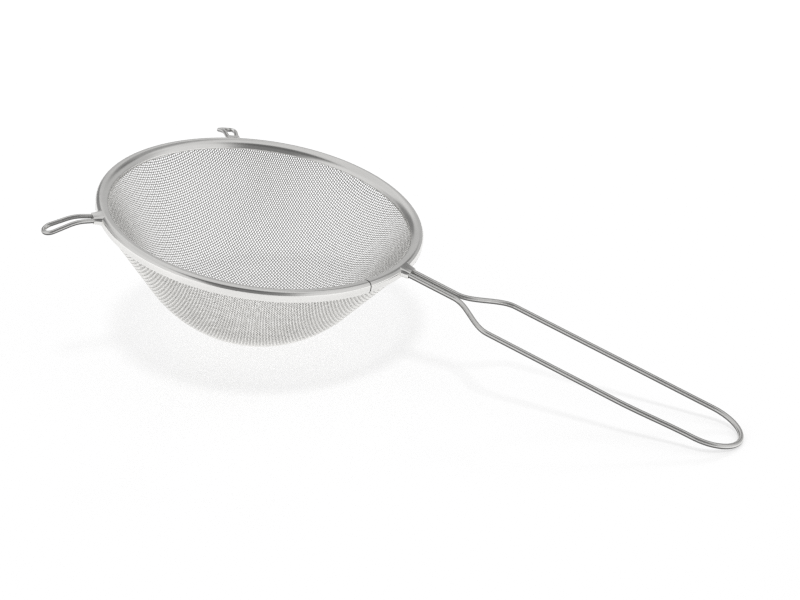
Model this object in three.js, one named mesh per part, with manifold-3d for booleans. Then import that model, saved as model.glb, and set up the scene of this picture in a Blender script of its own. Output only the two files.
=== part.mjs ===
// Mesh strainer: a woven wire bowl held in a folded sheet rim, with a looped wire handle and two wire
// rests that reach over the edge of a pot. Millimetres and degrees, +Z up, handle along +X.
// It lies as it is put down on a table: on the round bottom of the bowl and the tip of the handle.
// Each piece is worked out in the bowl's own frame, with the crest of the rim at height 0.

import * as THREE from 'three';
import { mergeVertices } from 'three/addons/utils/BufferGeometryUtils.js';
import Module from 'manifold-3d';

// Rim: a sheet strip folded into a channel that opens downwards, butted end to end at a seam
const RIM_RADIUS = 100;
const RIM_WIDTH = 6.6;
const RIM_SHEET = 0.6;
const CREST_ROUND = 1.5;
const SKIRT_HEIGHT = 6.8;
const LIP_HEIGHT = 1.6;
const LIP_TUCK = 0.9;
const FLANGE_HEIGHT = 5.4;
const FLANGE_LEAN = 0.9;
const SEAM_ANGLE = -19.5;
const SEAM_GAP = 0.4;
const RIM_SIDES = 64;

// Bowl: a ball-shaped bottom that runs into a straight wall, woven on two crossing sets of wires
const BOWL_DEPTH = 84;
const WALL_LEAN = 36;
const MESH_PITCH = 13;
const MESH_WIRE = 1.05;
const WEAVE_ANGLE = -17;
const HEM_WIDTH = 1.2;
const HEM_HEIGHT = 1.1;
const HEM_GAP = 0.36;

// Wire legs: where a pair of wires comes through the rim and turns aside inside the channel
const LEG_DEPTH = 3.4;
const LEG_INSET = 3.5;
const LEG_BEND = 3;
const LEG_SPREAD = 14;
const FIT_GAP = 0.3;

// Collars: short sleeves drawn out of the rim's skirt round each pair of wires
const COLLAR_LENGTH = 4;
const COLLAR_SHEET = 0.6;
const COLLAR_FLARE = 0.5;
const COLLAR_ROOT = -0.54;
const COLLAR_STEPS = 4;

// Handle: one wire, drawn together at the neck, that tapers on one side to a round tip
const HANDLE_WIRE = 3.2;
const HANDLE_REACH = 217;
const HANDLE_WIDTH = 40.2;
const HANDLE_DROOP = 6.3;
const NECK_SPACING = 5.2;
const NECK_LENGTH = 34;
const SPLAY_LENGTH = 31;
const TAPER_LENGTH = 46;
const TIP_TAPER = 2.6;
const TIP_LENGTH = 23;

// Rests: two short wire loops that leave the rim level and then droop
const REST_ANGLE = 131.8;
const REST_WIRE = 2.7;
const REST_REACH = 32.2;
const REST_NECK = 5.2;
const REST_WIDTH = 9.2;
const REST_LEVEL = 9;
const REST_BEND = 25;
const REST_DROOP = 22;

// Facets: sides of a wire, steps along the curves of the wires and the rim, and steps that find a crossing
const WIRE_SIDES = 8;
const LEG_STEPS = 3;
const BEND_STEPS = 4;
const SPLAY_STEPS = 8;
const TIP_STEPS = 8;
const REST_STEPS = 10;
const SLEEVE_STEPS = 3;
const ARC_STEPS = 1;
const NEWTON_STEPS = 12;
const WELD = 1e-4;

const rad = THREE.MathUtils.degToRad;
const wasm = await Module();
wasm.setup();

function toSolid(geometry) {
  const bare = geometry.clone();
  bare.deleteAttribute('normal');
  bare.deleteAttribute('uv');
  const welded = mergeVertices(bare, WELD);
  const vertProperties = new Float32Array(welded.attributes.position.array);
  const triVerts = new Uint32Array(welded.index.array);
  return new wasm.Manifold(new wasm.Mesh({ numProp: 3, vertProperties, triVerts }));
}

function toGeometry(solid) {
  const { vertProperties, triVerts } = solid.getMesh();
  const geometry = new THREE.BufferGeometry();
  geometry.setAttribute('position', new THREE.BufferAttribute(vertProperties, 3));
  geometry.setIndex(new THREE.BufferAttribute(triVerts, 1));
  geometry.computeVertexNormals();
  return geometry;
}

// A closed (radius, height) outline turned once about the bowl's axis
function revolve(points) {
  const closed = [...points, points[0]];
  return new THREE.LatheGeometry(closed, RIM_SIDES).rotateX(Math.PI / 2);
}

// A frame on the rim's outside where a pair of wires leaves it: X outwards, drooping from the rim's plane
function seatOnRim(angle, droop) {
  const arm = new THREE.Group();
  const seat = new THREE.Group();
  arm.rotation.z = rad(angle);
  seat.position.set(RIM_RADIUS, 0, -LEG_DEPTH);
  seat.rotation.y = rad(droop);
  arm.add(seat);
  arm.updateMatrixWorld(true);
  return { arm, seat };
}

const pairs = [
  { ...seatOnRim(0, HANDLE_DROOP), wire: HANDLE_WIRE, spacing: NECK_SPACING },
  { ...seatOnRim(-REST_ANGLE, 0), wire: REST_WIRE, spacing: REST_NECK },
  { ...seatOnRim(REST_ANGLE, 0), wire: REST_WIRE, spacing: REST_NECK },
];

// Rim band: the channel's section is skirt, round crest and inner flange, all of one sheet
function channelOutline() {
  const inside = RIM_RADIUS - RIM_WIDTH;
  const shape = new THREE.Shape();
  shape.moveTo(RIM_RADIUS - LIP_TUCK, -SKIRT_HEIGHT);
  shape.lineTo(RIM_RADIUS, LIP_HEIGHT - SKIRT_HEIGHT);
  shape.absarc(RIM_RADIUS - CREST_ROUND, -CREST_ROUND, CREST_ROUND, 0, Math.PI / 2);
  shape.absarc(inside + CREST_ROUND, -CREST_ROUND, CREST_ROUND, Math.PI / 2, Math.PI);
  shape.lineTo(inside - FLANGE_LEAN, -FLANGE_HEIGHT);
  shape.lineTo(inside - FLANGE_LEAN + RIM_SHEET, -FLANGE_HEIGHT);
  const hollow = CREST_ROUND - RIM_SHEET;
  shape.absarc(inside + CREST_ROUND, -CREST_ROUND, hollow, Math.PI, Math.PI / 2, true);
  shape.absarc(RIM_RADIUS - CREST_ROUND, -CREST_ROUND, hollow, Math.PI / 2, 0, true);
  shape.lineTo(RIM_RADIUS - RIM_SHEET, LIP_HEIGHT - SKIRT_HEIGHT);
  shape.lineTo(RIM_RADIUS - RIM_SHEET - LIP_TUCK, -SKIRT_HEIGHT);
  return shape.getPoints(ARC_STEPS);
}

// A slot-shaped section that clears a pair of wires by the given margin all round
function pairOutline({ wire, spacing }, margin) {
  const half = spacing / 2;
  const round = wire / 2 + margin;
  const shape = new THREE.Shape();
  shape.absarc(0, half, round, 0, Math.PI);
  shape.absarc(0, -half, round, Math.PI, 2 * Math.PI);
  return shape;
}

// The section carried outwards along X from one place to another, in the frame of the pair's seat
function alongSeat(outline, from, to, steps) {
  const settings = { depth: to - from, steps, curveSegments: SLEEVE_STEPS, bevelEnabled: false };
  const geometry = new THREE.ExtrudeGeometry(outline, settings);
  return geometry.rotateY(Math.PI / 2).translate(from, 0, 0);
}

// A collar leaves the middle of the skirt's sheet wide and narrows to its sleeve
function collar(pair) {
  const outline = pairOutline(pair, FIT_GAP + COLLAR_SHEET);
  const sleeve = alongSeat(outline, COLLAR_ROOT, COLLAR_LENGTH, COLLAR_STEPS);
  const place = sleeve.attributes.position;
  for (let i = 0; i < place.count; i += 1) {
    const left = (COLLAR_LENGTH - place.getX(i)) / (COLLAR_LENGTH - COLLAR_ROOT);
    place.setY(i, place.getY(i) * (1 + COLLAR_FLARE * left ** 2));
  }
  return toSolid(sleeve.applyMatrix4(pair.seat.matrixWorld));
}

function bore(pair) {
  const tunnel = alongSeat(pairOutline(pair, FIT_GAP), -LEG_INSET, COLLAR_LENGTH + FIT_GAP, 1);
  return toSolid(tunnel.applyMatrix4(pair.seat.matrixWorld));
}

function seamCut() {
  const slab = new THREE.BoxGeometry(RIM_RADIUS, SEAM_GAP, RIM_RADIUS);
  return toSolid(slab.translate(RIM_RADIUS, 0, 0).rotateZ(rad(SEAM_ANGLE)));
}

function rimBand() {
  let band = toSolid(revolve(channelOutline())).subtract(seamCut());
  for (const pair of pairs) {
    band = band.add(collar(pair));
  }
  for (const pair of pairs) {
    band = band.subtract(bore(pair));
  }
  return toGeometry(band);
}

// Bowl profile: the wall meets the hem inside the rim's lip and touches the ball that makes the bottom
const hem = {
  radius: RIM_RADIUS - RIM_SHEET - LIP_TUCK / 2 - HEM_GAP - HEM_WIDTH / 2,
  height: LIP_HEIGHT / 2 - SKIRT_HEIGHT,
};
const wall = { sin: Math.sin(rad(WALL_LEAN)), cos: Math.cos(rad(WALL_LEAN)) };
const rise = hem.height + BOWL_DEPTH;
const ballRadius = (hem.radius * wall.cos - rise * wall.sin) / (1 - wall.sin);
const ballCentre = ballRadius - BOWL_DEPTH;
const ballEdge = ballRadius * wall.cos;
const ballArc = ballRadius * (Math.PI / 2 - rad(WALL_LEAN));

// Height and slope of the bowl's middle surface at a distance from its axis
function bowlAt(radius) {
  if (radius > ballEdge) {
    const slope = wall.cos / wall.sin;
    return { height: hem.height + (radius - hem.radius) * slope, slope };
  }
  const drop = Math.sqrt(ballRadius ** 2 - radius ** 2);
  return { height: ballCentre - drop, slope: radius / drop };
}

// Distance from the axis after going a length up the bowl from its lowest point
function radiusAlong(length) {
  if (length > ballArc) {
    return ballEdge + (length - ballArc) * wall.sin;
  }
  return ballRadius * Math.sin(length / ballRadius);
}

// The wires can't stretch, so every cell of the net keeps four sides of one pitch and only shears.
// Given two neighbours of a crossing, Newton steps find the point of the bowl one pitch from both.
function crossing(a, b, across) {
  const point = a.clone().add(b).sub(across);
  for (let step = 0; step < NEWTON_STEPS; step += 1) {
    const radius = Math.hypot(point.x, point.y);
    const { height, slope } = bowlAt(radius);
    point.z = height;
    const dx = new THREE.Vector3(1, 0, (slope * point.x) / radius);
    const dy = new THREE.Vector3(0, 1, (slope * point.y) / radius);
    const toA = point.clone().sub(a);
    const toB = point.clone().sub(b);
    const missA = (toA.lengthSq() - MESH_PITCH ** 2) / 2;
    const missB = (toB.lengthSq() - MESH_PITCH ** 2) / 2;
    const det = toA.dot(dx) * toB.dot(dy) - toA.dot(dy) * toB.dot(dx);
    point.x -= (missA * toB.dot(dy) - missB * toA.dot(dy)) / det;
    point.y -= (missB * toA.dot(dx) - missA * toB.dot(dx)) / det;
  }
  point.z = bowlAt(Math.hypot(point.x, point.y)).height;
  return point;
}

// One quarter of the net, worked outwards from the two wires that cross at the lowest point
function quarterNet() {
  const top = hem.height + MESH_PITCH;
  const net = [];
  for (let i = 0; i === 0 || net[i - 1].length > 1; i += 1) {
    net.push([]);
    for (let j = 0; i === 0 || j < net[i - 1].length; j += 1) {
      const reach = radiusAlong(Math.max(i, j) * MESH_PITCH);
      const onAxis = new THREE.Vector3(i > 0 ? reach : 0, j > 0 ? reach : 0, bowlAt(reach).height);
      const inside = i > 0 && j > 0;
      const point = inside ? crossing(net[i - 1][j], net[i][j - 1], net[i - 1][j - 1]) : onAxis;
      if (point.z > top) {
        break;
      }
      net[i].push(point);
    }
  }
  return net;
}

// The four mirrored quarters, each crossing under the key of its two wire numbers
function wholeNet() {
  const net = new Map();
  quarterNet().forEach((row, i) => row.forEach((point, j) => {
    for (const [si, sj] of [[1, 1], [-1, 1], [1, -1], [-1, -1]]) {
      net.set(`${si * i},${sj * j}`, new THREE.Vector3(si * point.x, sj * point.y, point.z));
    }
  }));
  return net;
}

// Each crossing is a small block with eight corners, and bars join the blocks of neighbouring crossings
function latticeGeometry() {
  const net = wholeNet();
  const order = new Map([...net.keys()].map((key, index) => [key, index]));
  const places = [];
  const faces = [];
  const quad = (corners, flip) => {
    const [a, b, c, d] = flip ? [...corners].reverse() : corners;
    faces.push(a, b, c, a, c, d);
  };
  for (const [key, point] of net) {
    const [i, j] = key.split(',').map(Number);
    const span = (di, dj) => {
      const ahead = net.get(`${i + di},${j + dj}`) ?? point;
      const behind = net.get(`${i - di},${j - dj}`) ?? point;
      return ahead.clone().sub(behind).normalize();
    };
    const first = span(1, 0);
    const second = span(0, 1);
    const normal = first.clone().cross(second);
    const half = MESH_WIRE / 2 / normal.length();
    normal.setLength(MESH_WIRE / 2);
    for (let corner = 0; corner < 8; corner += 1) {
      const place = point.clone();
      place.addScaledVector(first, corner & 1 ? half : -half);
      place.addScaledVector(second, corner & 2 ? half : -half);
      place.addScaledVector(normal, corner & 4 ? 1 : -1);
      places.push(...place.toArray());
    }
    const base = order.get(key) * 8;
    quad([4, 5, 7, 6].map((flags) => base + flags), false);
    quad([0, 1, 3, 2].map((flags) => base + flags), true);
    for (const [di, dj, along, beside] of [[1, 0, 1, 2], [0, 1, 2, 1]]) {
      const flip = along === 2;
      const ahead = order.get(`${i + di},${j + dj}`);
      const far = [along, along + beside, along + beside + 4, along + 4];
      if (ahead === undefined) {
        quad(far.map((flags) => base + flags), flip);
      } else {
        const near = [0, beside, beside + 4, 4].map((flags) => ahead * 8 + flags);
        const here = far.map((flags) => base + flags);
        for (let side = 0; side < 4; side += 1) {
          const next = (side + 1) % 4;
          quad([here[side], near[side], near[next], here[next]], !flip);
        }
      }
      if (!order.has(`${i - di},${j - dj}`)) {
        quad([0, beside, beside + 4, 4].map((flags) => base + flags), !flip);
      }
    }
  }
  const geometry = new THREE.BufferGeometry();
  geometry.setAttribute('position', new THREE.Float32BufferAttribute(places, 3));
  geometry.setIndex(faces);
  return geometry.rotateZ(rad(WEAVE_ANGLE));
}

// Woven bowl: the net ends at the hem, a flattened band that the rim's lip holds
function meshBowl() {
  const lattice = toSolid(latticeGeometry());
  const across = RIM_RADIUS * 2;
  const below = new THREE.BoxGeometry(across, across, across).translate(0, 0, hem.height - across / 2);
  const lean = (LIP_TUCK / LIP_HEIGHT) * (HEM_HEIGHT / 2);
  const section = [[1, -1], [1, 1], [-1, 1], [-1, -1]].map(([out, up]) => new THREE.Vector2(
    hem.radius + (out * HEM_WIDTH) / 2 + up * lean,
    hem.height + (up * HEM_HEIGHT) / 2,
  ));
  return toGeometry(lattice.intersect(toSolid(below)).add(toSolid(revolve(section))));
}

// A wire loop: half of its route is a chain of flat curves that ends at the tip, each with its own count
// of steps, and the other half mirrors it. A sway to one side and a fall are added, by how far out it is.
class LoopRoute extends THREE.Curve {
  constructor(half, sway, fall) {
    super();
    this.half = half;
    this.sway = sway;
    this.fall = fall;
    this.halfSteps = half.reduce((sum, { steps }) => sum + steps, 0);
  }

  getPoint(t, target = new THREE.Vector3()) {
    let place = (1 - Math.abs(1 - 2 * t)) * this.halfSteps;
    let index = 0;
    while (place > this.half[index].steps && index < this.half.length - 1) {
      place -= this.half[index].steps;
      index += 1;
    }
    const { curve, steps } = this.half[index];
    const { x, y } = curve.getPoint(place / steps);
    return target.set(x, this.sway(x) + (t < 0.5 ? y : -y), -this.fall(x));
  }

  // The steps are shared out by hand, so they aren't evened out along the route's length
  getUtoTmapping(u) {
    return u;
  }
}

function arc(x, y, radius, from, to) {
  return new THREE.EllipseCurve(x, y, radius, radius, from, to, to < from);
}

function line(fromX, fromY, toX, toY) {
  return new THREE.LineCurve(new THREE.Vector2(fromX, fromY), new THREE.Vector2(toX, toY));
}

// The start of a route: along inside the rim's channel and round a bend to face out through the collar
function legCurves(spacing) {
  const middle = RIM_RADIUS - LEG_INSET;
  const start = spacing / 2 + LEG_BEND;
  const turn = Math.asin(start / middle);
  const inner = middle * Math.cos(turn) - RIM_RADIUS;
  const end = Math.asin((start + LEG_SPREAD) / middle);
  return [
    { curve: arc(-RIM_RADIUS, 0, middle, end, turn), steps: LEG_STEPS },
    { curve: arc(inner + LEG_BEND, start, LEG_BEND, Math.PI, 1.5 * Math.PI), steps: BEND_STEPS },
    { curve: line(inner + LEG_BEND, spacing / 2, 0, spacing / 2), steps: 1 },
  ];
}

function handleRoute() {
  const half = HANDLE_WIDTH / 2;
  const neck = NECK_SPACING / 2;
  const splayed = NECK_LENGTH + SPLAY_LENGTH;
  const ease = SPLAY_LENGTH / 3;
  const tip = HANDLE_REACH - TIP_LENGTH;
  const taper = tip - TAPER_LENGTH;
  const tipHalf = half - TIP_TAPER / 2;
  const splay = new THREE.CubicBezierCurve(
    new THREE.Vector2(NECK_LENGTH, neck),
    new THREE.Vector2(NECK_LENGTH + ease, neck),
    new THREE.Vector2(splayed - ease, half),
    new THREE.Vector2(splayed, half),
  );
  const curves = [
    ...legCurves(NECK_SPACING),
    { curve: line(0, neck, NECK_LENGTH, neck), steps: 1 },
    { curve: splay, steps: SPLAY_STEPS },
    { curve: line(splayed, half, taper, half), steps: 1 },
    { curve: line(taper, half, tip, tipHalf), steps: 1 },
    { curve: new THREE.EllipseCurve(tip, 0, TIP_LENGTH, tipHalf, Math.PI / 2, 0, true), steps: TIP_STEPS },
  ];
  const sway = (x) => THREE.MathUtils.clamp((x - taper) / TAPER_LENGTH, 0, 1) * (TIP_TAPER / 2);
  return new LoopRoute(curves, sway, () => 0);
}

function restRoute() {
  const half = REST_WIDTH / 2;
  const bendEnd = REST_BEND * Math.sin(rad(REST_DROOP));
  const fall = (x) => {
    const past = Math.max(x - REST_LEVEL, 0);
    const bent = Math.min(past, bendEnd);
    const round = REST_BEND - Math.sqrt(REST_BEND ** 2 - bent ** 2);
    return round + (past - bent) * Math.tan(rad(REST_DROOP));
  };
  const curves = [
    ...legCurves(REST_NECK),
    { curve: line(0, REST_NECK / 2, REST_REACH - half, half), steps: REST_STEPS },
    { curve: arc(REST_REACH - half, 0, half, Math.PI / 2, 0), steps: BEND_STEPS },
  ];
  return new LoopRoute(curves, () => 0, fall);
}

// A round arc gets two facets for each of its curve segments
function wireLoop(route, wire) {
  const section = new THREE.Shape();
  const turn = Math.PI / WIRE_SIDES;
  section.absarc(0, 0, wire / 2, turn, turn + 2 * Math.PI);
  const steps = route.halfSteps * 2;
  const settings = { steps, curveSegments: WIRE_SIDES / 2, extrudePath: route, bevelEnabled: false };
  return new THREE.ExtrudeGeometry(section, settings);
}

function piece(name, geometry, material) {
  const mesh = new THREE.Mesh(geometry, material);
  mesh.name = name;
  return mesh;
}

const sheetSteel = new THREE.MeshStandardMaterial({ color: 0xc3c2be, roughness: 0.28, metalness: 1 });
const wireSteel = new THREE.MeshStandardMaterial({ color: 0xcccbc8, roughness: 0.22, metalness: 1 });
const meshSteel = new THREE.MeshStandardMaterial({ color: 0xd2d1ce, roughness: 0.35, metalness: 1 });

// The lean at which the bowl's bottom and the handle's tip both touch one level surface
function restingLean() {
  const droop = rad(HANDLE_DROOP);
  const tipOut = RIM_RADIUS + HANDLE_REACH * Math.cos(droop);
  const tipUnder = ballCentre + LEG_DEPTH + HANDLE_REACH * Math.sin(droop);
  const reach = Math.hypot(tipOut, tipUnder);
  const lift = ballRadius + MESH_WIRE / 2 - HANDLE_WIRE / 2;
  return Math.asin(lift / reach) - Math.atan2(tipUnder, tipOut);
}

const [handleSeat, leftSeat, rightSeat] = pairs;
handleSeat.seat.add(piece('handle_wire', wireLoop(handleRoute(), HANDLE_WIRE), wireSteel));
leftSeat.seat.add(piece('left_rest', wireLoop(restRoute(), REST_WIRE), wireSteel));
rightSeat.seat.add(piece('right_rest', wireLoop(restRoute(), REST_WIRE), wireSteel));

const leaned = new THREE.Group();
leaned.add(piece('rim_band', rimBand(), sheetSteel));
leaned.add(piece('mesh_bowl', meshBowl(), meshSteel));
leaned.add(...pairs.map(({ arm }) => arm));
leaned.rotation.y = restingLean();

// The origin is on the table, under the middle of the strainer's length and width
const strainer = new THREE.Group();
strainer.name = 'strainer';
strainer.add(leaned);
const box = new THREE.Box3().setFromObject(strainer, true);
const middle = box.getCenter(new THREE.Vector3());
leaned.position.set(-middle.x, -middle.y, -box.min.z);

export default strainer;
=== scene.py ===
# %% [markdown]
# # A woven wire strainer
# The strainer is five pieces of stainless steel: a bowl of woven wire, a folded sheet rim that grips its
# edge, a looped wire handle and two small wire rests. The solids that come with the frame hold the sizes,
# and this lesson gives each piece its fine form and its finish. Every shape is an array worked out from a
# formula, because the real pieces are all swept or woven from a plain section.

# %% The packed frame
import bpy
import numpy as np
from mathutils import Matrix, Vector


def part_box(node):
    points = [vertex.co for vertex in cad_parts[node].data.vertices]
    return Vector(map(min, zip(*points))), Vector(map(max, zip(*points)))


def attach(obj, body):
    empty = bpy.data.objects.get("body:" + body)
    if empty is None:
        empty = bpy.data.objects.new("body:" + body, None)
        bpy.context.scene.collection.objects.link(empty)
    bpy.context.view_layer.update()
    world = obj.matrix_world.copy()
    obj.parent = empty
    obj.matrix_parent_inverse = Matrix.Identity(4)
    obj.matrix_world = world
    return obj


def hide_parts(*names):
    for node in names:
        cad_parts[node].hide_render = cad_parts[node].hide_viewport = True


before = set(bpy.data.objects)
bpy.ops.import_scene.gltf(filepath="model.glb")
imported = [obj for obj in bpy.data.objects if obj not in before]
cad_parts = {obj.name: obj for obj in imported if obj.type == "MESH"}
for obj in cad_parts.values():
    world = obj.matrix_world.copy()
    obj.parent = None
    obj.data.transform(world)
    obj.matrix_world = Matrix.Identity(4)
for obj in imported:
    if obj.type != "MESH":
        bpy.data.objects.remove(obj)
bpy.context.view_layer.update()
print("solids:", ", ".join(sorted(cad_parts)))

# %% [markdown]
# ## Sizes
# The sizes are millimetres in the bowl's own frame: its axis is Z, the crest of the rim is at height 0 and
# the handle runs out along X. They could be read off the solids, but a maker thinks in sheet, wire and
# radius. So the sizes that several pieces share are written down once here, and every form follows them.

# %% The driving sizes
MM = 0.001
RIM_RADIUS = 100.0
RIM_SHEET = 0.6
SKIRT_HEIGHT = 6.8
LIP_HEIGHT = 1.6
LIP_TUCK = 0.9
BOWL_DEPTH = 84.0
LEG_DEPTH = 3.4
HANDLE_WIRE = 3.2
HANDLE_REACH = 217.0
HANDLE_DROOP = np.radians(6.3)
print(f"rim {2 * RIM_RADIUS:.0f} mm across, bowl {BOWL_DEPTH:.0f} mm deep")

# %% [markdown]
# ## The bowl's profile
# The mesh is pressed over a ball-ended form, so its section is a ball that runs into a straight, leaning
# wall. It could be drawn as a free curve, but two simple parts give exact heights and slopes. The wall ends
# at the hem inside the rim's lip, and that and the depth fix the ball.

# %% The ball, the wall and the hem
WALL_LEAN = np.radians(36)
HEM_WIDTH = 1.2
HEM_GAP = 0.36
# Keeps the root in the ball's formula real beyond the ball, where the wall takes over.
LEAST_DROP = 1.0
hem_radius = RIM_RADIUS - RIM_SHEET - LIP_TUCK / 2 - HEM_GAP - HEM_WIDTH / 2
hem_height = LIP_HEIGHT / 2 - SKIRT_HEIGHT
wall_slope = 1 / np.tan(WALL_LEAN)
hem_reach = hem_radius * np.cos(WALL_LEAN) - (hem_height + BOWL_DEPTH) * np.sin(WALL_LEAN)
ball_radius = hem_reach / (1 - np.sin(WALL_LEAN))
ball_centre = ball_radius - BOWL_DEPTH
ball_edge = ball_radius * np.cos(WALL_LEAN)


def bowl_surface(radius):
    """Height and slope of the bowl at a distance from its axis: a ball inside its edge, then a cone."""
    drop = np.sqrt(np.maximum(ball_radius**2 - radius**2, LEAST_DROP**2))
    on_wall = radius > ball_edge
    height = np.where(on_wall, hem_height + (radius - hem_radius) * wall_slope, ball_centre - drop)
    return height, np.where(on_wall, wall_slope, radius / drop)


def radius_up_wall(length):
    """Distance from the axis after going a length up the bowl from its lowest point."""
    ball_length = ball_radius * (np.pi / 2 - WALL_LEAN)
    on_wall = ball_edge + (length - ball_length) * np.sin(WALL_LEAN)
    return np.where(length > ball_length, on_wall, ball_radius * np.sin(length / ball_radius))


print(f"ball of {ball_radius:.1f} mm, joined to the wall {ball_edge:.1f} mm from the axis")

# %% [markdown]
# ## How it lies on the table
# A strainer that is put down rests on the round bottom of its bowl and on the tip of its handle. The lean
# could be set by eye, but it follows from those two touching points. All pieces are worked out upright and
# leaned at the very end, so that their formulas stay simple.

# %% The lean and the place
# The middle of the mesh lies this far above the table at its lowest point.
STANDING_HALF = 0.525
tip_out = RIM_RADIUS + HANDLE_REACH * np.cos(HANDLE_DROOP)
tip_under = LEG_DEPTH + HANDLE_REACH * np.sin(HANDLE_DROOP)
stand_off = ball_radius + STANDING_HALF
tip_from_ball = np.hypot(tip_out, ball_centre + tip_under)
tip_rise = np.arctan2(ball_centre + tip_under, tip_out)
lean = np.arcsin((stand_off - HANDLE_WIRE / 2) / tip_from_ball) - tip_rise
tip_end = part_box("handle_wire")[1].x / MM - HANDLE_WIRE / 2
lean_shift = np.array([
    tip_end - np.cos(lean) * tip_out + np.sin(lean) * tip_under,
    0.0,
    stand_off - np.cos(lean) * ball_centre,
])


def stand(points):
    """Leans points about Y, moves them onto the table and turns millimetres into metres."""
    turn = np.array([
        [np.cos(lean), 0, np.sin(lean)],
        [0, 1, 0],
        [-np.sin(lean), 0, np.cos(lean)],
    ])
    return (points @ turn.T + lean_shift) * MM


print(f"lean {np.degrees(lean):.2f} degrees, shift {lean_shift.round(2)} mm")

# %% [markdown]
# ## One skin for everything
# Sheet and wire are both a closed section carried along a path. So every piece here is a stack of rings
# with quads between them, and a cap at each end unless the path closes on itself. Curve objects could do
# that too, but writing it once as arrays keeps all pieces closed and exact. The sign of the enclosed volume
# tells whether the faces must be turned to point outwards.


# %% Skinning rings
def skin(rings, present, joined=False):
    """Points and faces of rows of rings, an array of rows x rings x sides x 3.

    Between ring k and ring k + 1 of a row lies one quad for each side, and the first and the last ring of
    a row are closed by a cap. present marks the rings that exist, so that rows may differ in length. With
    joined the last ring is linked to the first instead, and there are no caps.
    """
    sides = rings.shape[2]
    number = np.full(present.shape, -1)
    number[present] = np.arange(present.sum())
    after = np.roll(number, -1, 1)
    before = np.roll(number, 1, 1)
    if not joined:
        after[:, -1] = -1
        before[:, 0] = -1
    linked = (number >= 0) & (after >= 0)
    here = number[linked][:, None] * sides
    ahead = after[linked][:, None] * sides
    side = np.arange(sides)
    beside = (side + 1) % sides
    quads = np.stack([here + side, here + beside, ahead + beside, ahead + side], -1).reshape(-1, 4)
    first = number[(number >= 0) & (before < 0)][:, None] * sides
    last = number[(number >= 0) & (after < 0)][:, None] * sides
    caps = np.concatenate([first + side[::-1], last + side])
    points = rings[present].reshape(-1, 3)
    corner = points[quads]
    area = np.cross(corner[:, 2] - corner[:, 0], corner[:, 3] - corner[:, 1])
    if np.einsum("ij,ij->", corner.mean(1) - points.mean(0), area) < 0:
        quads = quads[:, ::-1]
        caps = caps[:, ::-1]
    return points, quads.tolist() + caps.tolist()


box_rings = np.array([[[[0, 0, z], [1, 0, z], [1, 1, z], [0, 1, z]] for z in (0, 1)]], float)
print("faces of a box of two square rings:", len(skin(box_rings, np.ones((1, 2), bool))[1]))

# %% [markdown]
# ## From arrays to a piece
# A piece also carries a map along its run, for the lines of its finish, and a value that is 1 on its
# underside, where the thick wires get a painted shade and the mesh a painted light. Both are put into the
# mesh as whole arrays. Sharp edges are found by their angle, because sheet and wire are smooth except at
# their cut ends.

# %% Making a piece
SMOOTH_ANGLE = np.radians(40)


def piece(name, points, faces, uv, finish, node, under=0.0):
    """A mesh object of the given points and faces, leaned onto the table, that stands for a solid."""
    mesh = bpy.data.meshes.new(name)
    mesh.from_pydata(stand(points).tolist(), [], faces)
    corners = np.zeros(len(mesh.loops), np.int32)
    mesh.loops.foreach_get("vertex_index", corners)
    mesh.uv_layers.new(name="run").data.foreach_set("uv", (uv[corners] * MM).ravel())
    painted_side_and_seam_values = np.broadcast_to(np.asarray(under, np.float32), len(points))
    mesh.attributes.new("under", "FLOAT", "POINT").data.foreach_set("value", painted_side_and_seam_values)
    mesh.shade_smooth()
    mesh.set_sharp_from_angle(angle=SMOOTH_ANGLE)
    mesh.materials.append(finish)
    made = bpy.data.objects.new(name, mesh)
    bpy.context.scene.collection.objects.link(made)
    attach(made, "root")
    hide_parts(node)
    triangles = sum(len(face) - 2 for face in faces)
    print(f"{name}: {len(points)} points, {triangles} triangles")
    return made


print(f"edges stay smooth up to {np.degrees(SMOOTH_ANGLE):.0f} degrees")

# %% [markdown]
# ## Shader maths in plain Python
# A finish is a formula over the surface. Node trees are tedious to wire by hand, so one small class wraps a
# socket: adding or multiplying it adds the Math node, and one method makes any other node.

# %% The socket class
# A Mix node has sockets for several kinds of data, and these are the places of its colours.
MIX_FIRST = 6
MIX_SECOND = 7
MIX_RESULT = 2


class Field:
    """An output of a shader node, as a value that changes over the surface."""

    def __init__(self, socket):
        self.socket = socket
        self.tree = socket.id_data

    @staticmethod
    def node(tree, kind, settings, inputs):
        """A node of a kind: its settings first, then the values or links of its sockets."""
        made = tree.nodes.new(kind)
        for name, value in settings.items():
            setattr(made, name, value)
        for name, value in inputs.items():
            if isinstance(value, Field):
                tree.links.new(value.socket, made.inputs[name])
            else:
                made.inputs[name].default_value = value
        return made

    def maths(self, operation, first, second):
        """A Math node of an operation on two values."""
        made = Field.node(self.tree, "ShaderNodeMath", {"operation": operation}, {0: first, 1: second})
        return Field(made.outputs[0])

    # Each operator also has its reflected form, for a plain number on the left.
    def __add__(self, other):
        return self.maths("ADD", self, other)

    def __radd__(self, other):
        return self.maths("ADD", other, self)

    def __sub__(self, other):
        return self.maths("SUBTRACT", self, other)

    def __rsub__(self, other):
        return self.maths("SUBTRACT", other, self)

    def __mul__(self, other):
        return self.maths("MULTIPLY", self, other)

    def __rmul__(self, other):
        return self.maths("MULTIPLY", other, self)

    def between(self, low, high):
        """Smooth step: 0 below low, 1 above high."""
        settings = {"interpolation_type": "SMOOTHSTEP"}
        inputs = {"Value": self, "From Min": low, "From Max": high}
        return Field(Field.node(self.tree, "ShaderNodeMapRange", settings, inputs).outputs["Result"])

    def mix(self, first, second):
        """A colour that goes from the first to the second as this value goes from 0 to 1."""
        settings = {"data_type": "RGBA"}
        inputs = {"Factor": self, MIX_FIRST: first, MIX_SECOND: second}
        return Field(Field.node(self.tree, "ShaderNodeMix", settings, inputs).outputs[MIX_RESULT])


print("a field can:", ", ".join(name for name in vars(Field) if not name.startswith("_")))
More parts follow.
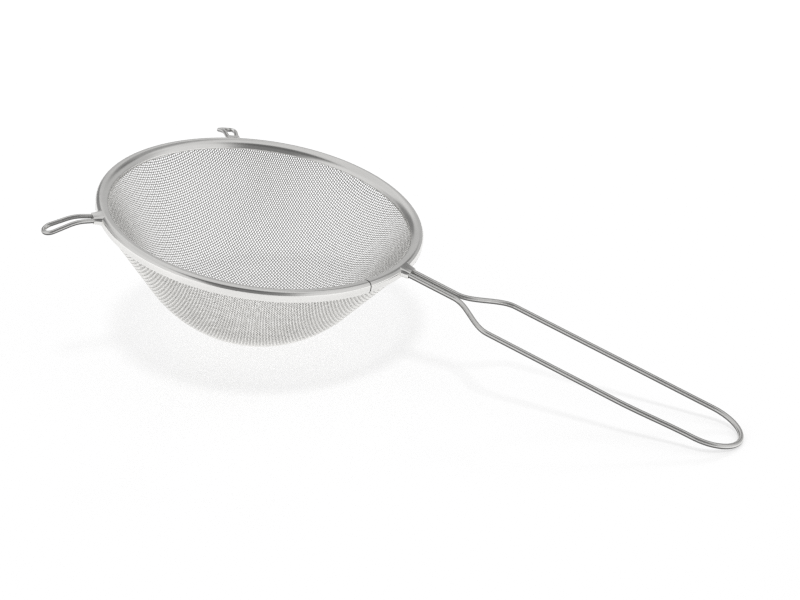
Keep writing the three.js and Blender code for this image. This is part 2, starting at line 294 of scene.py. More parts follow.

# %% [markdown]
# ## The steel finishes
# All the pieces are bright stainless steel, but each was worked in another way. Rolled sheet carries fine
# lines along the strip, drawn wire carries lines along its length, and both have soft smudges from handling.
# A metal has no colour of its own but what it reflects, so the life is in its roughness and its fine bump.
# The underside has a tone of its own, and that tone is painted light and shade: a painted shade darkens
# the underside of the thick wires, and painted light makes the outside of the mesh brighter than its inside.
# On the rim the same value marks the dark cut of its seam.

# %% Greys and noise
GREEN_SHARE = 0.993
BLUE_SHARE = 0.972
NOISE_ROUGHNESS = 0.6


def grey(tone):
    """A warm grey of stainless steel: its green and its blue are a share of its red."""
    return (tone, GREEN_SHARE * tone, BLUE_SHARE * tone, 1)


def noise(tree, output, stretch, detail):
    """Noise over the object or along the piece, with so many features a metre in each direction."""
    place = Field(tree.nodes.new("ShaderNodeTexCoord").outputs[output])
    mapped = Field.node(tree, "ShaderNodeMapping", {}, {"Vector": place, "Scale": stretch})
    inputs = {"Vector": Field(mapped.outputs[0]), "Scale": 1.0, "Detail": detail}
    inputs["Roughness"] = NOISE_ROUGHNESS
    return Field(Field.node(tree, "ShaderNodeTexNoise", {}, inputs).outputs["Fac"])


print(f"greys have {BLUE_SHARE:.1%} as much blue as red")

# %% Steel with lines along the run
LINE_DETAIL = 3.0
LINE_SHARE = 0.6
LINE_DEPTH = 0.00005
SMUDGE_SCALE = (45.0, 45.0, 45.0)
SMUDGE_DETAIL = 2.0
SMUDGE_EDGE = (0.35, 0.7)
PAINTED_SIDE_AND_SEAM_EDGE = (0.35, 0.55)


def worked_steel(name, dark, light, smooth, rough, stretch, bump, beneath):
    """Metal whose fine lines run along the piece: they shift its tone, its roughness and its bump.

    Wear is a weighted sum of lines and smudges. With it the tone goes from dark to light and the roughness
    from smooth to rough. Where the piece's marked value is high, another tone takes over: painted shade on
    the underside of the thick wires, painted light on the outside of the mesh, and the dark cut of the seam.
    """
    made = bpy.data.materials.new(name)
    made.use_nodes = True
    tree = made.node_tree
    shader = tree.nodes["Principled BSDF"]
    lines = noise(tree, "UV", stretch, LINE_DETAIL)
    smudge = noise(tree, "Object", SMUDGE_SCALE, SMUDGE_DETAIL).between(*SMUDGE_EDGE)
    worn = LINE_SHARE * lines + (1 - LINE_SHARE) * smudge
    attribute = Field.node(tree, "ShaderNodeAttribute", {"attribute_name": "under"}, {})
    under = Field(attribute.outputs["Fac"]).between(*PAINTED_SIDE_AND_SEAM_EDGE)
    # Where the value is high the tone is swapped: painted shade on the underside of the thick wires, painted
    # light on the outside of the mesh, and the dark cut of the rim's seam.
    tone = under.mix(worn.mix(grey(dark), grey(light)), grey(beneath))
    roughness = smooth + (rough - smooth) * worn
    settings = {"Height": lines, "Strength": bump, "Distance": LINE_DEPTH}
    relief = Field(Field.node(tree, "ShaderNodeBump", {}, settings).outputs[0])
    tree.links.new(tone.socket, shader.inputs["Base Color"])
    tree.links.new(roughness.socket, shader.inputs["Roughness"])
    tree.links.new(relief.socket, shader.inputs["Normal"])
    shader.inputs["Metallic"].default_value = 1.0
    return made


print(f"lines up to {LINE_DEPTH / MM:.2f} mm deep")

# %% The three finishes
rim_steel = worked_steel(
    "rim_steel",
    dark=0.77,
    light=0.87,
    smooth=0.14,
    rough=0.26,
    stretch=(25, 2500, 1),
    bump=0.25,
    beneath=0.25,
)
wire_steel = worked_steel(
    "wire_steel",
    dark=0.66,
    light=0.78,
    smooth=0.2,
    rough=0.34,
    stretch=(40, 2200, 1),
    bump=0.25,
    # Painted shade: the underside of the thick wires is painted dark.
    beneath=0.15,
)
mesh_steel = worked_steel(
    "mesh_steel",
    dark=0.48,
    light=0.60,
    smooth=0.4,
    rough=0.55,
    stretch=(300, 900, 1),
    bump=0.15,
    # Painted light: the outside of the mesh wires is painted brighter than their inside.
    beneath=0.95,
)
print("finishes:", rim_steel.name, wire_steel.name, mesh_steel.name)

# %% [markdown]
# ## The woven net
# The bowl starts as a flat disc of plain weave. Its wires hardly stretch, so when the disc is pressed into
# a bowl each small square keeps its four sides and only shears into a diamond. That is why the mesh closes
# up in four directions and stays square in the other four. A texture can't show this, so the crossings are
# worked out outwards from the bottom: each lies on the bowl, one pitch from two known neighbours.

# %% One crossing from its neighbours
MESH_PITCH = 1.6
NEWTON_STEPS = 8


def one_pitch_from(first, second, across):
    """The bowl's point one pitch from two neighbours, by Newton steps in x and y from the flat guess."""
    x, y = np.moveaxis(first + second - across, -1, 0)[:2]
    for _ in range(NEWTON_STEPS):
        radius = np.hypot(x, y)
        height, slope = bowl_surface(radius)
        point = np.stack([x, y, height], -1)
        along_x = np.stack([np.ones_like(x), np.zeros_like(x), slope * x / radius], -1)
        along_y = np.stack([np.zeros_like(x), np.ones_like(x), slope * y / radius], -1)
        to_first = point - first
        to_second = point - second
        miss_first = ((to_first**2).sum(-1) - MESH_PITCH**2) / 2
        miss_second = ((to_second**2).sum(-1) - MESH_PITCH**2) / 2
        first_by_x = (to_first * along_x).sum(-1)
        first_by_y = (to_first * along_y).sum(-1)
        second_by_x = (to_second * along_x).sum(-1)
        second_by_y = (to_second * along_y).sum(-1)
        determinant = first_by_x * second_by_y - first_by_y * second_by_x
        x = x - (miss_first * second_by_y - miss_second * first_by_y) / determinant
        y = y - (miss_second * first_by_x - miss_first * second_by_x) / determinant
    return np.stack([x, y, bowl_surface(np.hypot(x, y))[0]], -1)


print(f"wires {MESH_PITCH} mm apart")

# %% Crossings of the net
SPARE_WIRES = 2
bowl_length = ball_radius * (np.pi / 2 - WALL_LEAN) + (hem_radius - ball_edge) / np.sin(WALL_LEAN)
half_count = int(np.ceil(bowl_length / MESH_PITCH)) + SPARE_WIRES


def quarter_net():
    """Crossings of a quarter of the net, one diagonal after another, up to one pitch above the hem."""
    quarter = np.full((half_count, half_count, 3), np.nan)
    reach = radius_up_wall(np.arange(half_count) * MESH_PITCH)
    height = bowl_surface(reach)[0]
    quarter[:, 0] = np.stack([reach, 0 * reach, height], -1)
    quarter[0, :] = np.stack([0 * reach, reach, height], -1)
    for total in range(2, 2 * half_count - 1):
        i = np.arange(max(1, total - half_count + 1), min(total, half_count))
        j = total - i
        quarter[i, j] = one_pitch_from(quarter[i - 1, j], quarter[i, j - 1], quarter[i - 1, j - 1])
        quarter[quarter[..., 2] > hem_height + MESH_PITCH] = np.nan
    return quarter


def whole_net(quarter):
    """The quarter mirrored in both directions about the two wires that cross at the lowest point."""
    half = np.concatenate([quarter[:0:-1] * [-1, 1, 1], quarter], 0)
    return np.concatenate([half[:, :0:-1] * [1, -1, 1], half], 1)


net = whole_net(quarter_net())
print(f"net of {net.shape[0]} x {net.shape[1]} wires, {np.isfinite(net[..., 0]).sum()} crossings")

# %% [markdown]
# ## Weaving the wires
# In a plain weave each wire goes over one neighbour and under the next. The crossing is the middle, and the
# wire lies half a wire above or below it, by turns. Near each crossing the wire rides level for a short way
# and then dips, so two rings stand for each crossing. A bump could fake this from afar, but then no light
# would come through the gaps.


# %% Ends of the wires
def cut_at_hem(rows):
    """Rows of crossings whose first point above the hem is drawn back along its wire onto the hem."""
    height = rows[..., 2]
    inside = height <= hem_height
    for step in (1, -1):
        neighbour = np.roll(rows, step, 1)
        past = ~inside & np.isfinite(height) & np.roll(inside, step, 1)
        share = (hem_height - neighbour[past][:, 2]) / (height[past] - neighbour[past][:, 2])
        rows[past] = neighbour[past] + (rows[past] - neighbour[past]) * share[:, None]
        inside = inside | past
    rows[~inside] = np.nan
    return rows


print(f"wires end {-hem_height:.1f} mm below the crest")

# %% Rings of the wires
MESH_WIRE = 0.44
MESH_SIDES = 5
MESH_TURN = np.linspace(0, 2 * np.pi, MESH_SIDES, endpoint=False)
LEVEL_SHARE = 0.15
NEARLY_ZERO = 1e-9


def unit(vectors):
    """Vectors divided by their lengths."""
    return vectors / np.linalg.norm(vectors, axis=-1, keepdims=True)


def woven_rings(rows, over):
    """Rings of wires through rows of crossings: the middle line is moved by half a wire along the normal,
    up where over is 1 and down where it is -1, and carries a small round section."""
    radius = np.hypot(rows[..., 0], rows[..., 1])
    slope = bowl_surface(radius)[1]
    outward = rows[..., :2] / np.maximum(radius, NEARLY_ZERO)[..., None]
    normal = unit(np.concatenate([-slope[..., None] * outward, np.ones_like(radius)[..., None]], -1))
    middle = rows + normal * (over * MESH_WIRE / 2)[..., None]
    ahead = np.roll(rows, -1, 1)
    behind = np.roll(rows, 1, 1)
    ahead = np.where(np.isfinite(ahead), ahead, rows)
    behind = np.where(np.isfinite(behind), behind, rows)
    along = unit(ahead - behind)
    normal = unit(normal - along * (normal * along).sum(-1, keepdims=True))
    beside = np.cross(along, normal)
    upright = np.cos(MESH_TURN)[:, None] * normal[..., None, :]
    section = upright + np.sin(MESH_TURN)[:, None] * beside[..., None, :]
    before = middle + LEVEL_SHARE * (behind - rows)
    after = middle + LEVEL_SHARE * (ahead - rows)
    pairs = np.stack([before, after], 2)
    rings = pairs[..., None, :] + section[:, :, None] * MESH_WIRE / 2
    return rings.reshape(rows.shape[0], -1, MESH_SIDES, 3)


print(f"wire of {MESH_WIRE} mm with {MESH_SIDES} sides")

# %% Wires over and under
WEAVE_ANGLE = np.radians(-17)


def turned(points, angle):
    """Points turned about the bowl's axis."""
    x, y, z = np.moveaxis(points, -1, 0)
    return np.stack([x * np.cos(angle) - y * np.sin(angle), x * np.sin(angle) + y * np.cos(angle), z], -1)


def weave_piece(name, rows, over):
    """One piece of mesh from rows of crossings, turned to the weave's angle."""
    rows = cut_at_hem(rows.copy())
    rings = turned(woven_rings(rows, over), WEAVE_ANGLE)
    present = np.repeat(np.isfinite(rows[..., 0]), 2, 1)
    points, faces = skin(rings, present)
    run = np.broadcast_to(np.arange(rings.shape[1])[None, :, None] * MESH_PITCH / 2, rings.shape[:3])
    across = np.broadcast_to(np.arange(rings.shape[0])[:, None, None] * MESH_PITCH, rings.shape[:3])
    uv = np.stack([run, across], -1)[present].reshape(-1, 2)
    # 1 on the outer side of each mesh wire, where painted light brightens it.
    outside = np.tile((1 - np.cos(MESH_TURN)) / 2, present.sum())
    return piece(name, points, faces, uv, mesh_steel, "mesh_bowl", outside)


checker = 1 - 2 * (np.add.outer(np.arange(net.shape[0]), np.arange(net.shape[1])) % 2)
middle_wire = half_count - 1
weave_piece("mesh_warp_right", net[:middle_wire], checker[:middle_wire])
weave_piece("mesh_warp_left", net[middle_wire:], checker[middle_wire:])
net_across = net.swapaxes(0, 1)
weave_piece("mesh_weft_far", net_across[:middle_wire], -checker.T[:middle_wire])
weave_piece("mesh_weft_near", net_across[middle_wire:], -checker.T[middle_wire:])

# %% [markdown]
# ## The hem
# Before the rim closes on it, the cut edge of the mesh is pressed into a thin flat band. It hides in the
# channel, but seen from below it is what the wires end in. A ring of a slanted four-cornered section is
# enough for that.

# %% A ring of a small section
HEM_HEIGHT = 1.1
HOOP_STEPS = 288


def revolved(outline, angles):
    """Rings of a (radius, height) outline at each angle about the bowl's axis, as one row."""
    radius = outline[None, :, 0]
    angle = angles[:, None]
    height = np.broadcast_to(outline[None, :, 1], (len(angles), len(outline)))
    return np.stack([radius * np.cos(angle), radius * np.sin(angle), height], -1)[None]


def run_uv(rings, run):
    """How far each point lies along the piece and round its section, in millimetres."""
    step = np.linalg.norm(np.diff(rings[0, 0], axis=0), axis=-1)
    around = np.concatenate([[0], np.cumsum(step)])
    return np.stack(np.broadcast_arrays(run[:, None], around[None]), -1).reshape(-1, 2)


def swept_piece(name, rings, run, finish, node, joined=False, under=0.0):
    """A piece of one row of rings, with its map along the run and round the section."""
    points, faces = skin(rings, np.ones(rings.shape[:2], bool), joined)
    return piece(name, points, faces, run_uv(rings, run), finish, node, under)


hem_lean = (LIP_TUCK / LIP_HEIGHT) * (HEM_HEIGHT / 2)
hem_out = np.array([1, 1, -1, -1]) * HEM_WIDTH / 2 + np.array([-1, 1, 1, -1]) * hem_lean
hem_up = np.array([-1, 1, 1, -1]) * HEM_HEIGHT / 2
hem_outline = np.stack([hem_radius + hem_out, hem_height + hem_up], -1)
hoop = np.linspace(0, 2 * np.pi, HOOP_STEPS, endpoint=False)
hem = revolved(hem_outline, hoop)
swept_piece("mesh_hem", hem, hoop * RIM_RADIUS, mesh_steel, "mesh_bowl", joined=True)

# %% [markdown]
# ## The rim
# The rim is one strip of sheet, rolled into a channel: an outer skirt with a tucked lip, a round corner, and
# a top that slopes inwards as a shallow dome. Then it is bent to a hoop, and its ends butt at a seam. A
# plain ring could stand for it, but the dome is what draws the light and dark bands round the mouth. So the
# section is drawn once with its sheet thickness.

# %% The channel's section
OUTER_ROUND = 3.0
DOME_SIZE = np.array([6.2, 6.0])
DOME_TURN = 75
CORNER_STEPS = 13
DOME_STEPS = 17
EDGE_STEPS = 9


def arc(centre, radius, start, end, steps):
    """Points of a circle, or of an ellipse with two radii, from one angle to another in degrees."""
    across, up = np.broadcast_to(radius, 2)
    angle = np.radians(np.linspace(start, end, steps))
    return np.stack([centre[0] + across * np.cos(angle), centre[1] + up * np.sin(angle)], -1)


def channel_outline():
    """The sheet's outline: up the skirt, round the corner, over the dome, round its edge and back."""
    corner = (RIM_RADIUS - OUTER_ROUND, -OUTER_ROUND)
    dome = (RIM_RADIUS - OUTER_ROUND, -DOME_SIZE[1])
    dome_end = 90 + DOME_TURN
    edge = arc(dome, DOME_SIZE - RIM_SHEET / 2, dome_end, dome_end, 1)[0]
    return np.concatenate([
        [(RIM_RADIUS - LIP_TUCK, -SKIRT_HEIGHT), (RIM_RADIUS, LIP_HEIGHT - SKIRT_HEIGHT)],
        arc(corner, OUTER_ROUND, 0, 90, CORNER_STEPS),
        arc(dome, DOME_SIZE, 90, dome_end, DOME_STEPS)[1:],
        arc(edge, RIM_SHEET / 2, dome_end, dome_end + 180, EDGE_STEPS)[1:-1],
        arc(dome, DOME_SIZE - RIM_SHEET, dome_end, 90, DOME_STEPS)[:-1],
        arc(corner, OUTER_ROUND - RIM_SHEET, 90, 0, CORNER_STEPS),
        [(RIM_RADIUS - RIM_SHEET, LIP_HEIGHT - SKIRT_HEIGHT)],
        [(RIM_RADIUS - RIM_SHEET - LIP_TUCK, -SKIRT_HEIGHT)],
    ])


outline = channel_outline()
print(f"section of {len(outline)} points, {np.ptp(outline[:, 0]):.1f} mm wide")

# %% [markdown]
# ## The rim's seam
# The ends of the strip meet near the handle. They are cut, not rolled, so a thin burr beside the gap is
# dark. A dark line in the finish could stand for the seam, but a true gap is right from every side. So the
# hoop leaves out the gap, and the rings closest to it carry the value that darkens the steel.

# %% The hoop and its seam
SEAM_ANGLE = np.radians(-19.5)
SEAM_GAP = 0.4
SEAM_BURR = 0.15
DARK_BURRS = 1.5
seam_half = SEAM_GAP / 2 / RIM_RADIUS
burr = np.array([0, 1, 2]) * SEAM_BURR / RIM_RADIUS
strip_length = 2 * np.pi - 2 * seam_half
hoop_strip = np.linspace(0, strip_length, HOOP_STEPS + 1)[1:-1]
strip = np.concatenate([burr, hoop_strip, strip_length - burr[::-1]])
cut = np.minimum(strip, strip_length - strip) * RIM_RADIUS < DARK_BURRS * SEAM_BURR
cut_points = np.repeat(cut, len(outline))
rim = revolved(outline, SEAM_ANGLE + seam_half + strip)
swept_piece("rim_channel", rim, strip * RIM_RADIUS, rim_steel, "rim_band", under=cut_points)

# %% [markdown]
# ## The collars
# Where the wires come out, the skirt is drawn into a short tongue round each pair, flush with the crest, and
# crimped between the wires. It could be cut from the channel itself, but it is easier to give it a skin of
# its own: a sleeve whose section starts as a wide, tall slot and ends as a slim one, pressed in at its
# middle like the figure eight.

# %% Seats and slots
PINCH_STEPS = 11
SLOT_STEPS = 13


def seated(points, angle, droop):
    """Points from a pair's own frame, X outwards along the wires, onto the rim at an angle."""
    x, y, z = np.moveaxis(points, -1, 0)
    out = RIM_RADIUS + x * np.cos(droop) + z * np.sin(droop)
    up = -LEG_DEPTH - x * np.sin(droop) + z * np.cos(droop)
    return turned(np.stack([out, y, up], -1), angle)


def pinched_slot(half, radius, pinch):
    """Sideways and upwards places of a slot with round ends, pressed in by a share at its middle."""
    share = np.linspace(1, -1, PINCH_STEPS)[1:-1]
    top = np.stack([share * half, radius * (1 - pinch * (1 - share**2))], -1)
    one_end = arc((half, 0), radius, -90, 90, SLOT_STEPS)
    other_end = arc((-half, 0), radius, 90, 270, SLOT_STEPS)
    return np.concatenate([one_end, top, other_end, -top])


print(f"slot of {len(pinched_slot(1, 1, 0))} points")

# %% Sleeves round each pair of wires
FIT_GAP = 0.3
COLLAR_LENGTH = 4.0
COLLAR_SHEET = 0.6
COLLAR_FLARE = 0.5
COLLAR_ROOT = -2.4
COLLAR_STEP = 0.03
COLLAR_LIP = 0.15
COLLAR_STEPS = 9
PINCH_OUTSIDE = 0.12
PINCH_INSIDE = 0.92
NECK_SPACING = 5.2
REST_WIRE = 2.7
REST_NECK = 5.2
REST_ANGLE = np.radians(131.8)


def collar(name, angle, droop, wire, spacing):
    """A sleeve: sections from root to mouth outside, round its lip, and back along the bore inside."""
    share = np.linspace(0, 1, COLLAR_STEPS)
    root = (1 - share) ** 2
    height = wire / 2 + FIT_GAP + COLLAR_SHEET
    flush = (LEG_DEPTH - COLLAR_STEP + COLLAR_ROOT * np.sin(droop)) / height - 1
    out = COLLAR_ROOT + (COLLAR_LENGTH - COLLAR_ROOT) * share
    outside = np.full(COLLAR_STEPS, height)
    lip_and_bore = np.ones(1 + COLLAR_STEPS)
    place = np.concatenate([out, [COLLAR_LENGTH + COLLAR_LIP], out[::-1]])
    radius = np.concatenate([outside, [height - COLLAR_SHEET / 2], outside - COLLAR_SHEET])
    pinch = np.concatenate([PINCH_OUTSIDE * share**2, [PINCH_INSIDE], PINCH_INSIDE * share[::-1] ** 2])
    flare = np.concatenate([1 + COLLAR_FLARE * root, lip_and_bore])
    rise = np.concatenate([1 + flush * root, lip_and_bore])
    section = np.stack([pinched_slot(spacing / 2, r, p) for r, p in zip(radius, pinch)])
    depth = np.broadcast_to(place[:, None], section.shape[:2])
    rings = np.stack([depth, section[..., 0] * flare[:, None], section[..., 1] * rise[:, None]], -1)
    rings = seated(rings, angle, droop)[None]
    return swept_piece(name, rings, place, rim_steel, "rim_band", joined=True)


collar("handle_collar", 0.0, HANDLE_DROOP, HANDLE_WIRE, NECK_SPACING)
collar("left_collar", -REST_ANGLE, 0.0, REST_WIRE, REST_NECK)
collar("right_collar", REST_ANGLE, 0.0, REST_WIRE, REST_NECK)

# %% [markdown]
# ## Bent wires
# The handle and the rests are each one drawn wire, bent in a jig: legs along inside the rim, out through
# the collar, and a loop. A curve object with a round bevel would do, but the lines and arcs of a jig are
# easy to write as arrays. Half of the route is worked out, and the other half mirrors it.

# %% Legs, lines and curves
LEG_INSET = 3.5
LEG_BEND = 3.0
LEG_SPREAD = 14.0
LEG_STEPS = 8


def leg(spacing):
    """The hidden start: an arc along the channel, then a bend to face outwards."""
    middle = RIM_RADIUS - LEG_INSET
    start = spacing / 2 + LEG_BEND
    turn = np.degrees(np.arcsin(start / middle))
    end = np.degrees(np.arcsin((start + LEG_SPREAD) / middle))
    inner = middle * np.cos(np.radians(turn)) - RIM_RADIUS
    along = arc((-RIM_RADIUS, 0), middle, end, turn, LEG_STEPS)
    bend = arc((inner + LEG_BEND, start), LEG_BEND, 180, 270, LEG_STEPS)
    return np.concatenate([along[:-1], bend])


def straight(start, end, steps):
    """Points along a line, without its first."""
    share = np.linspace(0, 1, steps + 1)[1:, None]
    return np.array(start) + share * (np.array(end) - np.array(start))


def bezier(a, b, c, d, steps):
    """Points along a cubic curve that leaves a towards b and reaches d from c, without its first."""
    t = np.linspace(0, 1, steps + 1)[1:, None]
    a, b, c, d = np.array([a, b, c, d])
    return (1 - t) ** 3 * a + 3 * (1 - t) ** 2 * t * b + 3 * (1 - t) * t**2 * c + t**3 * d


print(f"a leg has {len(leg(NECK_SPACING))} points")

# %% A round wire along a route
WIRE_SIDES = 20


def wire_loop(name, half, sway, fall, wire, angle, droop, node):
    """A round wire along a half route and its mirror image, moved aside and down by how far out it is."""
    x, y = np.concatenate([half, half[-2::-1] * [1, -1]]).T
    line = np.stack([x, y + sway(x), -fall(x)], -1)
    run = np.concatenate([[0], np.cumsum(np.linalg.norm(np.diff(line, axis=0), axis=-1))])
    along = unit(np.gradient(line, run, axis=0))
    upward = unit(np.array([0, 0, 1.0]) - along * along[:, 2:])
    beside = np.cross(along, upward)
    turn = np.linspace(0, 2 * np.pi, WIRE_SIDES, endpoint=False)[:, None]
    section = np.sin(turn) * beside[:, None] - np.cos(turn) * upward[:, None]
    rings = seated(line[:, None] + section * wire / 2, angle, droop)[None]
    # 1 on the underside of the wire, where a painted shade darkens it.
    under = np.tile((1 + np.cos(turn[:, 0])) / 2, len(line))
    return swept_piece(name, rings, run, wire_steel, node, under=under)


def no_change(x):
    """Neither aside nor down."""
    return np.zeros_like(x)


print(f"round wires have {WIRE_SIDES} sides")

# %% [markdown]
# ## The handle
# The handle's two runs lie close at the neck, splay to a hand's grip and close in a round tip. The tip is a
# little narrower than the grip, and it leans aside, as if one run had been bent more than the other. It
# could be all circles and lines, but an elliptic tip and eased curves follow such bends better.

# %% The handle's loop
HANDLE_WIDTH = 40.2
NECK_LENGTH = 34.0
SPLAY_LENGTH = 31.0
TAPER_LENGTH = 46.0
TIP_TAPER = 2.6
TIP_LENGTH = 23.0
NECK_STEPS = 8
SPLAY_STEPS = 28
GRIP_STEPS = 16
TAPER_STEPS = 16
TIP_STEPS = 33
tip_start = HANDLE_REACH - TIP_LENGTH
taper_start = tip_start - TAPER_LENGTH


def handle_half():
    """Neck, splay, long straight run, a slight taper and an elliptic tip."""
    half = HANDLE_WIDTH / 2
    neck = NECK_SPACING / 2
    splayed = NECK_LENGTH + SPLAY_LENGTH
    splay_ease = SPLAY_LENGTH / 3
    taper_ease = TAPER_LENGTH / 3
    tip_half = half - TIP_TAPER / 2
    return np.concatenate([
        leg(NECK_SPACING),
        straight((0, neck), (NECK_LENGTH, neck), NECK_STEPS),
        bezier((NECK_LENGTH, neck), (NECK_LENGTH + splay_ease, neck),
               (splayed - splay_ease, half), (splayed, half), SPLAY_STEPS),
        straight((splayed, half), (taper_start, half), GRIP_STEPS),
        bezier((taper_start, half), (taper_start + taper_ease, half),
               (tip_start - taper_ease, tip_half), (tip_start, tip_half), TAPER_STEPS),
        arc((tip_start, 0), (TIP_LENGTH, tip_half), 90, 0, TIP_STEPS)[1:],
    ])


def handle_sway(x):
    """Moves the tip aside by half the taper, in a smooth step, so that one of the runs stays straight."""
    share = np.clip((x - taper_start) / TAPER_LENGTH, 0, 1)
    return TIP_TAPER / 2 * share**2 * (3 - 2 * share)


handle_route = handle_half()
wire_loop("handle_loop", handle_route, handle_sway, no_change, HANDLE_WIRE, 0.0, HANDLE_DROOP, "handle_wire")

# %% [markdown]
# ## The rests
# Two short loops opposite the handle hook over the edge of a pot. Each leaves the rim level, bends down and
# runs out straight. A straight drop would look stamped, so the bend is a true arc in the side view.

# %% The two rests
REST_REACH = 32.2
REST_WIDTH = 9.2
REST_LEVEL = 9.0
REST_BEND = 25.0
REST_DROOP = np.radians(22)
REST_STEPS = 36
REST_TIP_STEPS = 17


def rest_half():
    """Two runs that spread a little, and a round tip."""
    half = REST_WIDTH / 2
    tip = REST_REACH - half
    return np.concatenate([
        leg(REST_NECK),
        straight((0, REST_NECK / 2), (tip, half), REST_STEPS),
        arc((tip, 0), half, 90, 0, REST_TIP_STEPS)[1:],
    ])


def rest_fall(x):
    """Level at first, then a round bend, then a straight slope."""
    past = np.maximum(x - REST_LEVEL, 0)
    bent = np.minimum(past, REST_BEND * np.sin(REST_DROOP))
    return REST_BEND - np.sqrt(REST_BEND**2 - bent**2) + (past - bent) * np.tan(REST_DROOP)


wire_loop("left_rest_loop", rest_half(), no_change, rest_fall, REST_WIRE, -REST_ANGLE, 0.0, "left_rest")
wire_loop("right_rest_loop", rest_half(), no_change, rest_fall, REST_WIRE, REST_ANGLE, 0.0, "right_rest")

# %% [markdown]
# ## The table
# Bright steel shows its surroundings, so what stands round it is part of the finish. The strainer lies on a
# smooth white table. Lamps alone would leave the table grey, so it also glows a little by itself, like a
# light box. That keeps it white to its edges and lights the bowl from below.

# %% A pale table
FLOOR_SIZE = 12.0
FLOOR_GLOW = 0.6
FLOOR_TONE = 0.5
FLOOR_ROUGHNESS = 0.18
floor_mesh = bpy.data.meshes.new("table")
floor_corners = np.array([[-1, -1, 0], [1, -1, 0], [1, 1, 0], [-1, 1, 0]]) * FLOOR_SIZE / 2
floor_mesh.from_pydata(floor_corners.tolist(), [], [(0, 1, 2, 3)])
floor_finish = bpy.data.materials.new("table_white")
floor_finish.use_nodes = True
floor_shader = floor_finish.node_tree.nodes["Principled BSDF"]
floor_shader.inputs["Base Color"].default_value = (FLOOR_TONE, FLOOR_TONE, FLOOR_TONE, 1)
floor_shader.inputs["Roughness"].default_value = FLOOR_ROUGHNESS
floor_shader.inputs["Emission Color"].default_value = (1, 1, 1, 1)
floor_shader.inputs["Emission Strength"].default_value = FLOOR_GLOW
floor_mesh.materials.append(floor_finish)
floor = bpy.data.objects.new("table", floor_mesh)
bpy.context.scene.collection.objects.link(floor)
print(f"table {FLOOR_SIZE:.0f} m wide, glowing at {FLOOR_GLOW}")

# %% [markdown]
# ## The room
# The light and dark bands on a polished rim are pictures of a room. The room could be a photograph wrapped
# round the scene, but a few patches with soft edges say the same and are easy to move. Behind the strainer
# stands a dim wall, darkest at its foot. A dark screen rises over the camera, the ceiling is a little dim
# too, and a doorway and a shutter make one dim patch each.

# %% Directions in the room
CAMERA_PLACE = np.array([0.4159, -0.8419, 0.4876])
CAMERA_FORWARD = np.array([-0.4084, 0.8073, -0.4259])
CAMERA_RIGHT = np.array([0.8916, 0.4528, 0.0031])
camera_side = np.arctan2(-CAMERA_FORWARD[1], -CAMERA_FORWARD[0])
room = bpy.data.worlds.new("room")
room.use_nodes = True
bpy.context.scene.world = room
room_tree = room.node_tree
sky = Field(room_tree.nodes.new("ShaderNodeTexCoord").outputs["Generated"])


def facing(left, up):
    """How much a ray of the room runs in a direction, in degrees left of the camera and above level."""
    front = camera_side - np.radians(left)
    level = np.cos(np.radians(up))
    direction = (level * np.cos(front), level * np.sin(front), np.sin(np.radians(up)))
    dot = Field.node(room_tree, "ShaderNodeVectorMath", {"operation": "DOT_PRODUCT"}, {0: sky, 1: direction})
    return Field(dot.outputs["Value"])


print(f"the camera stands {np.degrees(camera_side):.0f} degrees round from the handle")

# %% The room's dim patches
ROOM_GLOW = 0.8
WALL_SIDE = (-0.1, 0.3)
WALL_TOP = (0.54, 0.68)
WALL_DARK = 0.26
FOOT_SIDE = (0.2, 0.6)
FOOT_TOP = (0.03, 0.15)
FOOT_DARK = 0.22
CEILING_EDGE = (0.62, 0.82)
CEILING_DARK = 0.08
SCREEN_LEFT = -4
SCREEN_SIDE = (0.1, 0.35)
SCREEN_TOP = (0.1, 0.35)
SCREEN_DARK = 0.58
DOORWAY_PLACE = (140, 25)
DOORWAY_EDGE = (0.93, 0.97)
DOORWAY_DARK = 0.3
SHUTTER_PLACE = (-144, 44)
SHUTTER_EDGE = (0.93, 0.99)
SHUTTER_DARK = 0.4
rise = facing(0, 90)
behind = facing(180, 0)
wall = behind.between(*WALL_SIDE) * (1 - rise.between(*WALL_TOP))
foot = behind.between(*FOOT_SIDE) * (1 - rise.between(*FOOT_TOP))
ceiling = rise.between(*CEILING_EDGE)
aside = facing(SCREEN_LEFT + 90, 0)
screen = (1 - (aside * aside).between(*SCREEN_SIDE)) * facing(SCREEN_LEFT, 0).between(*SCREEN_TOP)
doorway = facing(*DOORWAY_PLACE).between(*DOORWAY_EDGE)
shutter = facing(*SHUTTER_PLACE).between(*SHUTTER_EDGE)
glow = ROOM_GLOW - WALL_DARK * wall - FOOT_DARK * foot - CEILING_DARK * ceiling
glow = glow - SCREEN_DARK * screen - DOORWAY_DARK * doorway - SHUTTER_DARK * shutter
room_tree.links.new(glow.socket, room_tree.nodes["Background"].inputs["Strength"])
room_tree.nodes["Background"].inputs["Color"].default_value = (1, 1, 1, 1)
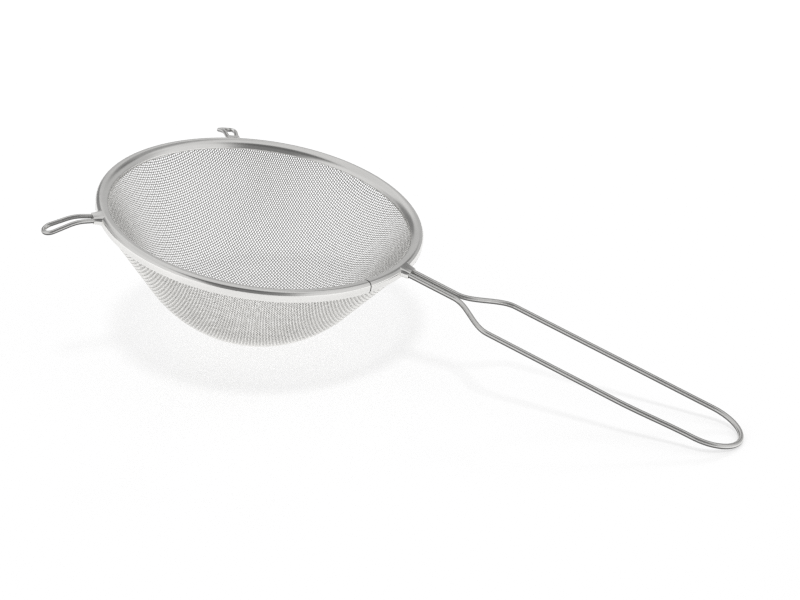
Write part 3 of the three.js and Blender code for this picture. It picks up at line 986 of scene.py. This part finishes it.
print(f"room glowing at {ROOM_GLOW}")

# %% [markdown]
# ## The lamp
# Even in soft light a wire leaves a faint shadow where it lies close to the table. The room alone is too
# even for that, so a weak, broad lamp hangs high on the camera's side. The steel doesn't mirror it, because
# bright spots on the rim and the mesh would hide the bands of the room.

# %% A soft lamp overhead
LAMP_STRENGTH = 0.75
LAMP_WIDTH = np.radians(12)
LAMP_RISE = np.radians(74)
lamp_light = bpy.data.lights.new("lamp", "SUN")
lamp_light.energy = LAMP_STRENGTH
lamp_light.angle = LAMP_WIDTH
lamp = bpy.data.objects.new("lamp", lamp_light)
lamp.rotation_euler = (0, np.pi / 2 - LAMP_RISE, camera_side)
lamp.visible_glossy = False
bpy.context.scene.collection.objects.link(lamp)
print(f"lamp {np.degrees(LAMP_RISE):.0f} degrees above the table")

# %% [markdown]
# ## The camera
# The strainer is seen from the front and above, through a long lens that keeps the rim's oval even. The
# camera could be aimed by hand, but here its place and directions were fitted to the rim's circle and the
# handle's straight runs. A narrow pixel filter and no smoothing of noise keep the fine wires crisp.

# %% The view
IMAGE_WIDTH = 800
FOCAL_PIXELS = 1750
PIXEL_FILTER = 1.3
lens = bpy.data.cameras.new("camera")
lens.sensor_fit = "HORIZONTAL"
lens.lens = lens.sensor_width * FOCAL_PIXELS / IMAGE_WIDTH
camera = bpy.data.objects.new("camera", lens)
forward = unit(CAMERA_FORWARD)
right = unit(CAMERA_RIGHT - forward * (CAMERA_RIGHT @ forward))
pose = np.eye(4)
pose[:3, 0] = right
pose[:3, 1] = np.cross(right, forward)
pose[:3, 2] = -forward
pose[:3, 3] = CAMERA_PLACE
camera.matrix_world = pose.T
bpy.context.scene.collection.objects.link(camera)
bpy.context.scene.camera = camera
bpy.context.scene.view_settings.view_transform = "Standard"
bpy.context.scene.cycles.use_denoising = False
bpy.context.scene.cycles.filter_width = PIXEL_FILTER
print(f"lens {lens.lens:.2f} mm")

# %% [markdown]
# ## The box of the object
# The dressed strainer has to stay as large as its solids.
